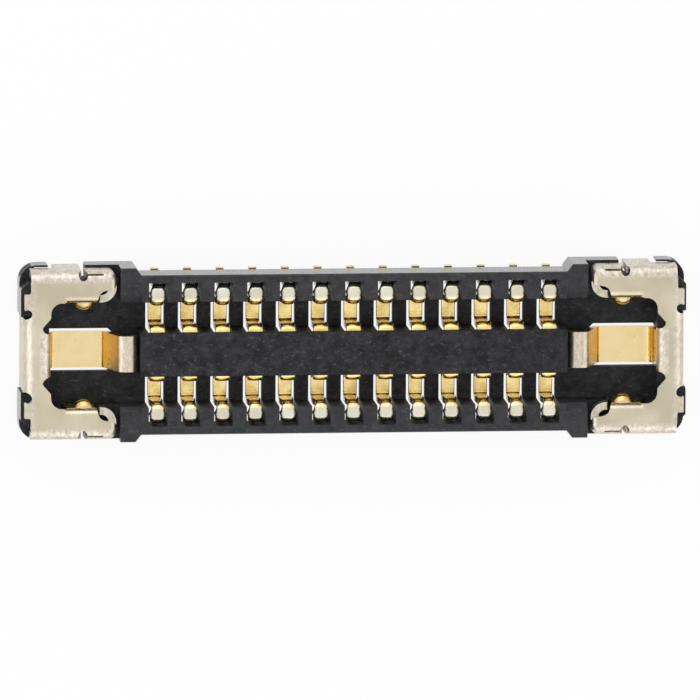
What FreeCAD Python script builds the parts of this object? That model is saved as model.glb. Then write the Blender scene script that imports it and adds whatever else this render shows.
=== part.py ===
import FreeCAD, Part
import math
import os
import Sketcher

# Receptacle half of a low board-to-flex connector.
# One moulded housing carries two rows of spring contacts and a folded metal fitting on each end.
# X runs along the rows, Y across them and Z up from the board. The solder feet stand on Z = 0.
# The origin is the middle of the connector on the board. Lengths are in millimetres.

SIZES = [
    # rows of contacts
    ("contacts_per_row", "13", "contacts in each row"),
    ("pitch", "0.35", "step from contact to contact"),
    # housing, heights above the board
    ("housing_underside", "0.02", "gap between board and housing"),
    ("floor_top", "0.12", "top of the channel floor"),
    ("wall_top", "0.58", "top of the side walls and the island"),
    ("ledge_top", "0.28", "top of the outer ledge and the corner posts"),
    ("end_wall_top", "0.50", "top of the end wall beside its fold"),
    ("undercut_top", "0.18", "top of the undercut where the tails come out"),
    ("lip_underside", "0.50", "underside of the island lip over the contact tips"),
    # housing, across
    ("island_width", "0.47", "width of the centre island"),
    ("channel_width", "0.33", "island to side wall"),
    ("side_wall", "0.295", "thickness of the side wall beside the rows"),
    ("block_widening", "0.078", "how far the end blocks stand out past the side walls"),
    ("undercut_depth", "0.06", "depth of the undercut along the rows"),
    ("spring_pocket_depth", "0.08", "depth of the pocket in the island behind each contact tip"),
    ("slot_width", "0.20", "width of the slot that holds a contact"),
    ("slot_ledge_top", "0.18", "top of the ledges beside the foot of the outer leg"),
    ("slot_reach", "0.21", "how far each slot goes into the side wall"),
    ("tail_exit_width", "0.15", "width of the way out for each tail"),
    # housing, along, from the last contact of the row
    ("island_margin", "0.19", "last contact to island end"),
    ("block_margin", "0.18", "last contact to end block"),
    ("block_taper", "0.06", "length of the taper onto the end block"),
    ("cavity_margin", "1.16", "last contact to the end wall"),
    ("corner_radius", "0.19", "outer corner radius"),
    ("post_wall", "0.022", "thickness of the thin wall outside each end fitting corner"),
    ("lead_in", "0.085", "lead-in chamfer on the end blocks"),
    ("edge_break", "0.015", "small chamfer on the top edges"),
    ("cavity_corner", "0.05", "inner corner radius of the cavity"),
    ("end_margin", "0.025", "how far the corner posts pass the end flap"),
    ("island_foot", "0.24", "floor between the island end and the tongue opening"),
    ("opening_chamfer", "0.076", "chamfer on the inner corners of the tongue opening"),
    # end fitting
    ("sheet", "0.08", "thickness of the fitting sheet"),
    ("plate_top", "0.60", "top of the fitting above the board"),
    ("bar_overhang", "0.01", "how far the bar reaches in past the end wall"),
    ("bar_width", "0.16", "flat width of the bar between its two folds"),
    ("arm_length", "0.705", "bar to the free end of an arm"),
    ("arm_width", "0.225", "flat width of an arm between its two folds"),
    ("outer_fold", "0.08", "centre-line radius of the outer flap fold"),
    ("end_fold", "0.09", "centre-line radius of the end flap and tongue folds"),
    ("inner_fold", "0.06", "centre-line radius of the inner flap and ear fold"),
    ("flap_bottom", "0.29", "lower edge of the outer flaps"),
    ("inner_flap_bottom", "0.22", "lower edge of the inner flaps"),
    ("flap_gap", "0.04", "slit between the two outer flaps"),
    ("flap_gap_relief", "0.045", "reach of the relief at the root of that slit"),
    ("flap_gap_place", "0.35", "bar to the middle of the slit between the outer flaps"),
    ("rear_flap_end", "0.21", "how far the rear outer flap passes the bar"),
    ("leg_length", "0.28", "width of the side solder leg"),
    ("end_flap_half", "0.40", "half width of the end flap"),
    ("relief_radius", "0.055", "round relief beside the end flap"),
    ("relief_place", "0.047", "side edge of the end flap to the middle of its relief"),
    ("tab_reach", "0.12", "length of the corner tabs past the end fold line"),
    ("tab_step", "0.06", "depth of the step in the outer corner of a corner tab"),
    ("tab_step_width", "0.12", "width of the step in the outer corner of a corner tab"),
    ("inner_flap_near", "0.13", "bar to the near side of the inner flap"),
    ("inner_flap_length", "0.35", "length of the inner flap"),
    ("ear_radius", "0.16", "outer radius of the ear that curls round from the free end of an arm"),
    ("ear_tail", "0.025", "straight end of the ear past its curl"),
    ("ear_bottom", "0.36", "lower edge of the ear"),
    ("ear_bend", "0.042", "bevel that bends the free end of an arm down"),
    ("ear_slit", "0.035", "width of the slit between the ear and the rest of the arm"),
    ("latch_reach", "0.075", "how far the latch nub stands into the cavity"),
    ("latch_width", "0.15", "width of the latch nub at its root"),
    ("latch_bottom", "0.40", "underside of the latch nub"),
    ("latch_top", "0.49", "top of the latch nub"),
    ("latch_corner", "0.02", "corner radius of the latch nub"),
    ("bar_corner", "0.12", "inner corner radius between bar and arm"),
    ("arm_corner_clip", "0.10", "open corner between the two folds at the free end of an arm"),
    ("notch_width", "0.21", "tongue to the far end of the notch beside it"),
    ("notch_depth", "0.09", "depth of the notch beside the tongue"),
    ("notch_floor", "0.115", "tongue to the deepest part of the notch"),
    ("notch_corner", "0.02", "corner radius of the notch"),
    # tongue of the fitting
    ("tongue_width", "0.385", "width of the tongue"),
    ("tongue_floor", "0.03", "underside of the flat of the tongue above the board"),
    ("tongue_crest", "0.50", "top of the tongue crest above the board"),
    ("tongue_foot", "0.585", "bar to the foot of the rising part"),
    ("tongue_rise", "0.19", "length over which the tongue rises"),
    ("crest_length", "0.115", "flat between the two crest folds"),
    ("crest_fold", "0.05", "centre-line radius of the crest folds"),
    ("tip_drop", "0.12", "crest to the end of the tongue tip"),
    ("tongue_gap", "0.038", "gap between tongue and floor opening"),
    ("tongue_corner_clip", "0.03", "clipped corners of the tongue tip"),
    # contact
    ("strip", "0.07", "thickness of the contact strip"),
    ("strip_width", "0.12", "width of the legs and crest of a contact"),
    ("spring_width", "0.148", "width of the spring of a contact"),
    ("tail_width", "0.10", "width of the solder tail"),
    ("tail_reach", "0.015", "how far the tail passes the side wall"),
    ("crest_drop", "0.05", "wall top to the top of the contact crest"),
    ("outer_leg_place", "0.15", "wall face to the middle of the outer leg"),
    ("inner_leg_place", "0.011", "wall face to the middle of the inner leg, towards the island"),
    ("spring_foot_place", "0.02", "island face to the foot of the rising spring"),
    ("spring_lean", "0.025", "how far the spring leans back to its contact bump"),
    ("bump_top", "0.48", "top of the contact bump above the board"),
    ("tip_reach", "0.045", "how far the tip passes under the island lip"),
    ("strip_lift", "0.03", "underside of the contact strip above the board"),
    ("contact_crest_fold", "0.061", "centre-line radius of the folds at the contact crest"),
    ("bump_fold", "0.056", "centre-line radius of the fold at the contact bump"),
    ("low_bend", "0.042", "bevel that stands for each fold near the board"),
    ("wing_slope", "0.02", "slope on both edges of the retention wings"),
    ("wing_rise", "0.0175", "how far the wings rise past the middle of the crest sheet"),
    # fits
    ("seat_gap", "0.005", "clearance between housing and a folded sheet"),
    ("edge_gap", "0.01", "clearance beside the cut edges of a folded sheet"),
    ("arm_end_gap", "0.04", "clearance past the free end of an arm"),
    ("leg_clearance", "0.06", "clearance past the side solder leg"),
    ("flap_clearance", "0.02", "clearance under the inner flap"),
    ("ear_clearance", "0.04", "clearance under the ear"),
    ("fold_relief", "0.05", "extra depth under the folds of bar and end flap"),
    ("inner_fold_relief", "0.06", "slope that clears the fold of the inner flap"),
]

# How far a cutting outline passes the face that it starts from.
OVERCUT = 0.1

# An inner face with a smaller fold radius than this is drawn sharp.
SMALLEST_FOLD = 0.03


class Size:
    """A length that stays tied to the sheet: its value now and the formula that gives it."""

    def __init__(self, value, formula):
        self.value = value
        self.formula = formula

    def __add__(self, other):
        other = as_size(other)
        return Size(self.value + other.value, f"({self.formula} + {other.formula})")

    def __sub__(self, other):
        other = as_size(other)
        return Size(self.value - other.value, f"({self.formula} - {other.formula})")

    def __mul__(self, other):
        other = as_size(other)
        return Size(self.value * other.value, f"({self.formula} * {other.formula})")

    def __truediv__(self, other):
        other = as_size(other)
        return Size(self.value / other.value, f"({self.formula} / {other.formula})")

    def __neg__(self):
        return self * -1

    def __radd__(self, other):
        return as_size(other) + self

    def __rsub__(self, other):
        return as_size(other) - self

    def __rmul__(self, other):
        return as_size(other) * self


def as_size(length):
    """Takes a plain number as it is, so that formulas may mix numbers and sizes."""
    if isinstance(length, Size):
        return length
    return Size(float(length), f"({float(length)})")


def make_sheet(doc):
    """Writes the driving sizes into the sheet and returns them by name."""
    sheet = doc.addObject("Spreadsheet::Sheet", "Sizes")
    sizes = {}
    for row, (alias, number, meaning) in enumerate(SIZES, start=1):
        sheet.set(f"A{row}", meaning)
        sheet.set(f"B{row}", number)
        sheet.setAlias(f"B{row}", alias)
        sizes[alias] = Size(float(number), f"Sizes.{alias}")
    doc.recompute()
    return sizes


def bind(thing, name, length):
    """Ties one property of an object to its formula."""
    thing.setExpression(name, as_size(length).formula)


# Sketches

def sketch_on(body, name, plane, height=0):
    """An empty sketch on a base plane of the body, lifted off it by a height."""
    sketch = body.newObject("Sketcher::SketchObject", name)
    face = next(item for item in body.Origin.OriginFeatures if item.Role == plane)
    sketch.AttachmentSupport = [(face, "")]
    sketch.MapMode = "FlatFace"
    bind(sketch, "AttachmentOffset.Base.z", height)
    return sketch


def add_rule(sketch, kind, *curves):
    """A rule between curves with no size of its own."""
    sketch.addConstraint(Sketcher.Constraint(kind, *curves))


def add_size(sketch, kind, *curves_and_length):
    """A sized rule, tied to its formula."""
    *curves, length = curves_and_length
    length = as_size(length)
    index = sketch.addConstraint(Sketcher.Constraint(kind, *curves, length.value))
    sketch.setExpression(f"Constraints[{index}]", length.formula)


def pin_point(sketch, curve, end, place):
    """Holds one end of a curve at its place from the sketch origin."""
    add_size(sketch, "DistanceX", -1, 1, curve, end, place[0])
    add_size(sketch, "DistanceY", -1, 1, curve, end, place[1])


def point_at(place):
    return FreeCAD.Vector(as_size(place[0]).value, as_size(place[1]).value, 0)


def corner_arc(before, corner, after, radius):
    """The arc that rounds a corner: where it starts, where it ends and its centre."""
    towards_before = (before - corner).normalize()
    towards_after = (after - corner).normalize()
    half_angle = towards_before.getAngle(towards_after) / 2
    run = radius / math.tan(half_angle)
    middle = (towards_before + towards_after).normalize()
    centre = corner + middle * (radius / math.sin(half_angle))
    return corner + towards_before * run, corner + towards_after * run, centre


def add_arc(sketch, start, end, centre, construction=False):
    """Adds the short arc between two points; tells which of its ends is the first point."""
    circle = Part.Circle(centre, FreeCAD.Vector(0, 0, 1), (start - centre).Length)
    angles = [math.atan2(point.y - centre.y, point.x - centre.x) for point in (start, end)]
    turns_left = (start - centre).cross(end - centre).z > 0
    if not turns_left:
        angles.reverse()
    arc = Part.ArcOfCircle(circle, angles[0], angles[1])
    index = sketch.addGeometry(arc, construction)
    return index, (1, 2) if turns_left else (2, 1)


def draw_path(sketch, corners, closed, construction=False):
    """Draws straight lines through the corners; a third value rounds that corner.

    Returns the lines and, by corner, the arcs.
    """
    points = [point_at(corner) for corner in corners]
    count = len(corners)
    arrive = list(points)
    leave = list(points)
    centres = {}
    for index, corner in enumerate(corners):
        if len(corner) == 3:
            radius = as_size(corner[2]).value
            before = points[index - 1]
            after = points[(index + 1) % count]
            arrive[index], leave[index], centres[index] = corner_arc(before, points[index], after, radius)
    line_count = count if closed else count - 1
    lines = []
    for index in range(line_count):
        line = Part.LineSegment(leave[index], arrive[(index + 1) % count])
        lines.append(sketch.addGeometry(line, construction))
    arcs = {}
    for index, corner in enumerate(corners):
        if not closed and index == 0:
            pin_point(sketch, lines[0], 1, corner)
        elif not closed and index == count - 1:
            pin_point(sketch, lines[-1], 2, corner)
        elif index in centres:
            arc, ends = add_arc(sketch, arrive[index], leave[index], centres[index], construction)
            arcs[index] = arc
            add_rule(sketch, "Tangent", lines[index - 1], 2, arc, ends[0])
            add_rule(sketch, "Tangent", arc, ends[1], lines[index], 1)
            add_size(sketch, "Radius", arc, corner[2])
            mark = sketch.addGeometry(Part.Point(points[index]), True)
            add_rule(sketch, "PointOnObject", mark, 1, lines[index - 1])
            add_rule(sketch, "PointOnObject", mark, 1, lines[index])
            pin_point(sketch, mark, 1, corner)
        else:
            add_rule(sketch, "Coincident", lines[index - 1], 2, lines[index], 1)
            pin_point(sketch, lines[index], 1, corner)
    return lines, arcs


def draw_loop(sketch, corners):
    """Draws a closed outline."""
    draw_path(sketch, corners, closed=True)


def draw_strip(sketch, path, thickness):
    """Draws the edge view of a folded sheet: its centre line, and both faces beside it.

    A third value at a corner is the centre-line radius of the fold there. A corner without one is sharp.
    """
    centre_lines, centre_arcs = draw_path(sketch, path, closed=False, construction=True)
    half = as_size(thickness) / 2
    left = draw_sheet_face(sketch, path, centre_lines, centre_arcs, half, 1)
    right = draw_sheet_face(sketch, path, centre_lines, centre_arcs, half, -1)
    add_size(sketch, "Distance", left[0], 1, centre_lines[0], half)
    caps = []
    for place, end in ((0, 1), (-1, 2)):
        cap = sketch.addGeometry(
            Part.LineSegment(sketch.getPoint(left[place], end), sketch.getPoint(right[place], end)), False)
        add_rule(sketch, "Coincident", left[place], end, cap, 1)
        add_rule(sketch, "Coincident", right[place], end, cap, 2)
        add_rule(sketch, "Perpendicular", cap, centre_lines[place])
        caps.append(cap)
    add_rule(sketch, "Symmetric", caps[0], 1, caps[0], 2, centre_lines[0], 1)
    add_rule(sketch, "PointOnObject", centre_lines[-1], 2, caps[1])


def draw_sheet_face(sketch, path, centre_lines, centre_arcs, half, side):
    """Draws one face of a folded sheet, to the left (1) or the right (-1) of its centre line."""
    segments = []
    for middle in centre_lines:
        segment = sketch.Geometry[middle]
        run = segment.EndPoint - segment.StartPoint
        across = FreeCAD.Vector(-run.y, run.x, 0).normalize() * (side * half.value)
        segments.append([segment.StartPoint + across, segment.EndPoint + across])
    sharp_corners = []
    for index in range(1, len(path) - 1):
        before, corner, after = [point_at(place) for place in path[index - 1:index + 2]]
        turns_left = (corner - before).cross(after - corner).z > 0
        is_inner = turns_left == (side > 0)
        radius = as_size(path[index][2]).value if index in centre_arcs else 0
        if radius == 0 or (is_inner and radius - half.value < SMALLEST_FOLD):
            towards_inside = ((before - corner).normalize() + (after - corner).normalize()).normalize()
            half_angle = (before - corner).getAngle(after - corner) / 2
            reach = half.value / math.sin(half_angle) * (1 if is_inner else -1)
            segments[index - 1][1] = corner + towards_inside * reach
            segments[index][0] = segments[index - 1][1]
            sharp_corners.append(index)
    faces = [sketch.addGeometry(Part.LineSegment(start, end), False) for start, end in segments]
    for index in range(1, len(path) - 1):
        if index in sharp_corners:
            add_rule(sketch, "Coincident", faces[index - 1], 2, faces[index], 1)
            add_size(sketch, "Distance", faces[index], 1, centre_lines[index], half)
        else:
            middle_arc = centre_arcs[index]
            centre = sketch.Geometry[middle_arc].Center
            arc, ends = add_arc(sketch, segments[index - 1][1], segments[index][0], centre)
            add_rule(sketch, "Coincident", arc, 3, middle_arc, 3)
            add_rule(sketch, "Tangent", faces[index - 1], 2, arc, ends[0])
            add_rule(sketch, "Tangent", arc, ends[1], faces[index], 1)
    for middle, face in zip(centre_lines, faces):
        add_rule(sketch, "Parallel", middle, face)
    return faces


def draw_circle(sketch, centre, radius):
    """Draws a circle held by its centre and radius."""
    circle = Part.Circle(point_at(centre), FreeCAD.Vector(0, 0, 1), as_size(radius).value)
    index = sketch.addGeometry(circle, False)
    pin_point(sketch, index, 3, centre)
    add_size(sketch, "Radius", index, radius)


def box_loop(low_x, low_y, high_x, high_y):
    """The corners of a rectangle."""
    return [(low_x, low_y), (high_x, low_y), (high_x, high_y), (low_x, high_y)]


# Features

def settle(body, feature):
    """Works out a new feature and stops if it failed."""
    body.Document.recompute()
    if not feature.isValid() or feature.Shape.isNull() or not feature.Shape.isValid():
        raise RuntimeError(f"{feature.Label} has no valid shape")
    return feature


def pad(body, sketch, name, length):
    """Raises the sketch along its plane's own direction."""
    feature = body.newObject("PartDesign::Pad", name)
    feature.Profile = sketch
    bind(feature, "Length", length)
    return settle(body, feature)


def pocket(body, sketch, name, length):
    """Cuts the sketch away along its plane's own direction."""
    volume_before = body.Shape.Volume
    feature = body.newObject("PartDesign::Pocket", name)
    feature.Profile = sketch
    feature.Reversed = True
    bind(feature, "Length", length)
    settle(body, feature)
    if feature.Shape.Volume >= volume_before:
        raise RuntimeError(f"{name} cuts nothing")
    return feature


def plan_pad(body, name, loop, low, high):
    """A pad seen from above, between two heights."""
    sketch = sketch_on(body, f"{name}_outline", "XY_Plane", low)
    draw_loop(sketch, loop)
    return pad(body, sketch, name, high - low)


def plan_pocket(body, name, loop, low, high):
    """A pocket seen from above, between two heights."""
    sketch = sketch_on(body, f"{name}_outline", "XY_Plane", low)
    draw_loop(sketch, loop)
    return pocket(body, sketch, name, high - low)


def side_strip(body, name, path, thickness, low_x, high_x):
    """A folded strip seen along X, between two places along X."""
    sketch = sketch_on(body, f"{name}_fold", "YZ_Plane", low_x)
    draw_strip(sketch, path, thickness)
    return pad(body, sketch, name, high_x - low_x)


def end_strip(body, name, path, thickness, half_width):
    """A folded strip seen along Y, from the middle plane out to its half width."""
    sketch = sketch_on(body, f"{name}_fold", "XZ_Plane", -half_width)
    draw_strip(sketch, path, thickness)
    return pad(body, sketch, name, half_width)


def edges_where(shape, test):
    """The names of the edges that pass a test."""
    return [f"Edge{number}" for number, edge in enumerate(shape.Edges, start=1) if test(edge)]


def mirror_whole(body, name, plane):
    """Doubles everything so far across a base plane of the body."""
    feature = body.newObject("PartDesign::Mirrored", name)
    face = next(item for item in body.Origin.OriginFeatures if item.Role == plane)
    feature.TransformMode = "Whole shape"
    feature.MirrorPlane = (face, [""])
    body.Tip = feature
    return settle(body, feature)


def make_body(doc, name):
    body = doc.addObject("PartDesign::Body", name)
    body.Label = name
    return body


# Places that several pieces share

class Layout:
    """Places worked out from the driving sizes; along X they are counted from the middle outwards."""

    def __init__(self, size):
        self.size = size
        self.row_end = size["pitch"] * (size["contacts_per_row"] - 1) / 2
        self.island_half = size["island_width"] / 2
        self.wall_inner = self.island_half + size["channel_width"]
        self.wall_outer = self.wall_inner + size["side_wall"]
        self.block_outer = self.wall_outer + size["block_widening"]
        self.island_end = self.row_end + size["island_margin"]
        self.block_start = self.row_end + size["block_margin"]
        self.cavity_end = self.row_end + size["cavity_margin"]
        self.bar_inner = self.cavity_end - size["bar_overhang"]
        self.arm_end = self.bar_inner - size["arm_length"]
        self.end_fold_line = self.bar_inner + size["bar_width"]
        self.end_flap_middle = self.end_fold_line + size["end_fold"]
        self.end_flap_inner = self.end_flap_middle - size["sheet"] / 2
        self.end_flap_outer = self.end_flap_middle + size["sheet"] / 2
        self.housing_end = self.end_flap_outer + size["end_margin"]
        self.outer_fold_line = self.wall_inner + size["arm_width"]
        self.outer_flap_middle = self.outer_fold_line + size["outer_fold"]
        self.outer_flap_face = self.outer_flap_middle + size["sheet"] / 2
        self.inner_flap_middle = self.wall_inner + size["sheet"] / 2
        self.inner_fold_line = self.inner_flap_middle + size["inner_fold"]
        self.outer_leg = self.wall_inner + size["outer_leg_place"]
        self.plate_middle = size["plate_top"] - size["sheet"] / 2
        self.seat = size["plate_top"] - size["sheet"]
        self.flap_gap_middle = self.bar_inner - size["flap_gap_place"]
        self.leg_start = self.flap_gap_middle + size["flap_gap"] / 2
        self.leg_end = self.leg_start + size["leg_length"]
        self.inner_flap_far = self.bar_inner - size["inner_flap_near"]
        self.inner_flap_start = self.inner_flap_far - size["inner_flap_length"]
        self.ear_centre = (self.arm_end + size["ear_radius"], self.wall_inner + size["ear_radius"])
        self.ear_far = self.ear_centre[0] + size["ear_tail"]
        self.ear_slit_far = self.ear_far + size["ear_slit"]
        self.arm_tip_middle = self.arm_end + size["sheet"] / 2
        self.arm_tip_side = self.outer_flap_face - size["arm_corner_clip"]
        self.arm_fold_line = self.arm_tip_middle + size["inner_fold"]
        self.rear_flap_far = self.bar_inner + size["rear_flap_end"]


def build_housing(doc, layout):
    """The moulded housing: one quarter is built, then doubled across both middle planes."""
    size = layout.size
    body = make_body(doc, "housing")
    underside = size["housing_underside"]
    wall_top = size["wall_top"]
    below = underside - OVERCUT
    above = wall_top + OVERCUT
    outside_x = layout.housing_end + OVERCUT
    outside_y = layout.block_outer + OVERCUT

    plan_pad(body, "block", [
        (0, 0),
        (layout.housing_end, 0),
        (layout.housing_end, layout.block_outer, size["corner_radius"]),
        (layout.block_start + size["block_taper"], layout.block_outer),
        (layout.block_start, layout.wall_outer),
        (0, layout.wall_outer),
    ], underside, wall_top)

    plan_pocket(body, "channel", [
        (-OVERCUT, layout.island_half),
        (layout.island_end, layout.island_half),
        (layout.island_end, -OVERCUT),
        (layout.cavity_end, -OVERCUT),
        (layout.cavity_end, layout.wall_inner, size["cavity_corner"]),
        (-OVERCUT, layout.wall_inner),
    ], size["floor_top"], above)

    break_top_edges(body, layout)

    lead_in = sketch_on(body, "lead_in_profile", "YZ_Plane", layout.block_start)
    draw_loop(lead_in, [
        (layout.wall_inner - OVERCUT, wall_top - size["lead_in"]),
        (layout.wall_inner, wall_top - size["lead_in"]),
        (layout.wall_inner + size["lead_in"], wall_top),
        (layout.wall_inner + size["lead_in"], above),
        (layout.wall_inner - OVERCUT, above),
    ])
    pocket(body, lead_in, "lead_in", layout.cavity_end - size["cavity_corner"] - layout.block_start)

    cut_fitting_seat(body, layout, below, above, outside_x, outside_y)
    cut_contact_ways(body, layout, below, above)
    mirror_whole(body, "both_sides", "XZ_Plane")
    mirror_whole(body, "both_ends", "YZ_Plane")
    return body


def break_top_edges(body, layout):
    """Small chamfers along the top edges of the island and the side wall."""
    size = layout.size
    tiny = 1e-4

    def is_top_edge(edge):
        box = edge.BoundBox
        level = abs(box.ZMin - size["wall_top"].value) < tiny and box.ZLength < tiny
        on_middle_plane = box.XMax < tiny or box.YMax < tiny
        return level and not on_middle_plane

    base = body.Tip
    chamfer = body.newObject("PartDesign::Chamfer", "top_edge_break")
    chamfer.Base = (base, edges_where(base.Shape, is_top_edge))
    bind(chamfer, "Size", size["edge_break"])
    settle(body, chamfer)


def cut_fitting_seat(body, layout, below, above, outside_x, outside_y):
    """Everything cut into the end of the housing for the end fitting."""
    size = layout.size
    gap = size["seat_gap"]
    edge_gap = size["edge_gap"]
    seat_start = layout.arm_end - size["arm_end_gap"]
    side_face = layout.outer_fold_line - gap
    leg_gap_start = layout.flap_gap_middle - size["flap_gap"]
    post_start = layout.leg_end + size["leg_clearance"]
    tongue_half = size["tongue_width"] / 2
    opening_half = tongue_half + size["tongue_gap"]
    post_inner = layout.end_fold_line

    plan_pocket(body, "seat", box_loop(seat_start, -OVERCUT, outside_x, outside_y), layout.seat, above)
    plan_pocket(body, "ledge", box_loop(seat_start, side_face, leg_gap_start + OVERCUT, outside_y),
                size["ledge_top"], above)
    plan_pocket(body, "leg_gap", [
        (leg_gap_start, side_face),
        (post_inner, side_face),
        (post_inner, layout.block_outer - size["post_wall"]),
        (post_start, layout.block_outer - size["post_wall"]),
        (post_start, outside_y),
        (leg_gap_start, outside_y),
    ], below, above)
    plan_pocket(body, "corner_post_top", [
        (post_start - OVERCUT, side_face),
        (layout.end_flap_middle - size["post_wall"], side_face, size["post_wall"]),
        (layout.housing_end, side_face - size["sheet"]),
        (outside_x, side_face - size["sheet"]),
        (outside_x, outside_y),
        (post_start - OVERCUT, outside_y),
    ], size["ledge_top"], above)
    plan_pocket(body, "end_wall_top", box_loop(post_inner, -OVERCUT, outside_x, outside_y),
                size["end_wall_top"], above)
    recess_side = size["end_flap_half"] + edge_gap
    plan_pocket(body, "end_flap_recess",
                box_loop(layout.end_flap_inner - gap, -OVERCUT, outside_x, recess_side), below, above)
    plan_pocket(body, "fold_relief",
                box_loop(layout.cavity_end - OVERCUT, -OVERCUT, outside_x, recess_side + edge_gap),
                layout.seat - size["fold_relief"], above)
    plan_pocket(body, "tongue_groove",
                box_loop(layout.cavity_end - OVERCUT, -OVERCUT,
                         layout.bar_inner + size["sheet"] + edge_gap, tongue_half + edge_gap),
                below, above)
    opening_start = layout.island_end + size["island_foot"]
    plan_pocket(body, "tongue_opening", [
        (opening_start, -OVERCUT),
        (layout.cavity_end, -OVERCUT),
        (layout.cavity_end, opening_half),
        (opening_start + size["opening_chamfer"], opening_half),
        (opening_start, opening_half - size["opening_chamfer"]),
    ], below, size["floor_top"] + gap)

    ear_back = layout.ear_centre[1] + gap
    plan_pocket(body, "ear_pocket", [
        (seat_start, layout.wall_inner - OVERCUT),
        (layout.ear_slit_far + gap, layout.wall_inner - OVERCUT),
        (layout.ear_slit_far + gap, ear_back),
        (layout.arm_fold_line + gap, ear_back),
        (layout.arm_fold_line + gap, layout.arm_tip_side + gap),
        (seat_start, layout.arm_tip_side + gap),
    ], size["ear_bottom"] - size["ear_clearance"], above)
    flap_back = layout.wall_inner + size["sheet"] + gap
    flap_pocket_floor = size["inner_flap_bottom"] - size["flap_clearance"]
    relief = size["inner_fold_relief"]
    flap_pocket = sketch_on(body, "inner_flap_profile", "YZ_Plane",
                            layout.inner_flap_start - size["flap_gap"] / 2)
    draw_loop(flap_pocket, [
        (layout.wall_inner - OVERCUT, flap_pocket_floor),
        (flap_back, flap_pocket_floor),
        (flap_back, layout.seat - relief),
        (flap_back + relief, layout.seat),
        (flap_back + relief, above),
        (layout.wall_inner - OVERCUT, above),
    ])
    pocket(body, flap_pocket, "inner_flap_pocket", size["inner_flap_length"] + size["flap_gap"])


def cut_contact_ways(body, layout, below, above):
    """The slots, island pockets and tail exits of one quarter, from the last contact to the middle."""
    size = layout.size
    half_slot = size["slot_width"] / 2
    half_exit = size["tail_exit_width"] / 2
    slot_end = layout.wall_inner + size["slot_reach"]
    foot_start = layout.outer_leg - size["strip"] / 2 - size["edge_gap"]
    undercut_face = layout.wall_outer - size["undercut_depth"]
    row_end = layout.row_end

    undercut = sketch_on(body, "undercut_profile", "YZ_Plane", -OVERCUT)
    draw_loop(undercut, box_loop(undercut_face, below, layout.wall_outer + OVERCUT, size["undercut_top"]))
    pocket(body, undercut, "undercut", layout.block_start + OVERCUT)

    slot = plan_pocket(body, "contact_slot",
                       box_loop(row_end - half_slot, layout.island_half, row_end + half_slot, foot_start),
                       below, above)
    slot_top = plan_pocket(body, "slot_over_ledges",
                           box_loop(row_end - half_slot, foot_start - size["edge_break"],
                                    row_end + half_slot, slot_end),
                           size["slot_ledge_top"], above)
    pocket_back = layout.island_half - size["spring_pocket_depth"]
    spring_pocket = plan_pocket(body, "spring_pocket",
                                box_loop(row_end - half_slot, pocket_back,
                                         row_end + half_slot, layout.island_half + size["edge_break"]),
                                below, size["lip_underside"])
    tail_exit = plan_pocket(body, "tail_exit",
                            box_loop(row_end - half_exit, foot_start - size["edge_break"],
                                     row_end + half_exit, layout.wall_outer + OVERCUT),
                            below, size["undercut_top"])

    pattern = body.newObject("PartDesign::LinearPattern", "contact_ways")
    pattern.TransformMode = "Features"
    pattern.Originals = [slot, slot_top, spring_pocket, tail_exit]
    along = next(item for item in body.Origin.OriginFeatures if item.Role == "X_Axis")
    pattern.Direction = (along, [""])
    pattern.Reversed = True
    pattern.Mode = "Spacing"
    bind(pattern, "Offset", size["pitch"])
    bind(pattern, "Occurrences", Size(math.ceil(size["contacts_per_row"].value / 2),
                                      f"ceil({size['contacts_per_row'].formula} / 2)"))
    body.Tip = pattern
    settle(body, pattern)


def build_contact(doc, layout):
    """The stamped contact of the row on the +Y side, at the middle of its row."""
    size = layout.size
    body = make_body(doc, "contact_pattern")
    strip = size["strip"]
    tail_middle = strip / 2
    outer_leg = layout.outer_leg
    inner_leg = layout.wall_inner - size["inner_leg_place"]
    crest = size["wall_top"] - size["crest_drop"] - strip / 2
    crest_fold = size["contact_crest_fold"]
    floor_line = size["strip_lift"] + strip / 2
    spring_foot = layout.island_half + size["spring_foot_place"]
    bump = size["bump_top"] - strip / 2
    tip = layout.island_half - size["tip_reach"]
    tail_end = layout.wall_outer + size["tail_reach"]
    half_width = size["strip_width"] / 2
    half_spring = size["spring_width"] / 2
    bend = size["low_bend"]

    side_strip(body, "legs_and_crest", [
        (tail_end, tail_middle),
        (outer_leg + bend, tail_middle),
        (outer_leg, tail_middle + bend),
        (outer_leg, crest, crest_fold),
        (inner_leg, crest, crest_fold),
        (inner_leg, floor_line + bend),
        (inner_leg - bend, floor_line),
        (inner_leg - bend - strip / 2, floor_line),
    ], strip, -half_width, half_width)
    side_strip(body, "spring", [
        (inner_leg - bend, floor_line),
        (spring_foot + bend, floor_line),
        (spring_foot, floor_line + bend),
        (spring_foot + size["spring_lean"], bump, size["bump_fold"]),
        (tip, bump),
    ], strip, -half_spring, half_spring)

    half_slot = size["slot_width"] / 2
    wings = sketch_on(body, "wing_profile", "YZ_Plane", -half_slot)
    draw_loop(wings, [
        (inner_leg, crest - strip / 2),
        (outer_leg, crest - strip / 2),
        (outer_leg, crest),
        (outer_leg - size["wing_slope"], crest + size["wing_rise"]),
        (inner_leg + size["wing_slope"], crest + size["wing_rise"]),
        (inner_leg, crest),
    ])
    pad(body, wings, "retention_wings", half_slot * 2)

    half_tail = size["tail_width"] / 2
    narrowing = sketch_on(body, "tail_trim_outline", "XY_Plane", -OVERCUT)
    tail_trim_start = outer_leg + strip
    for side in (-1, 1):
        edge = half_tail * side
        outside = (half_width + OVERCUT) * side
        draw_loop(narrowing, [
            (edge, tail_trim_start),
            (outside, tail_trim_start),
            (outside, tail_end + OVERCUT),
            (edge, tail_end + OVERCUT),
        ])
    pocket(body, narrowing, "tail_trim", strip + OVERCUT * 2)
    return body


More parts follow.
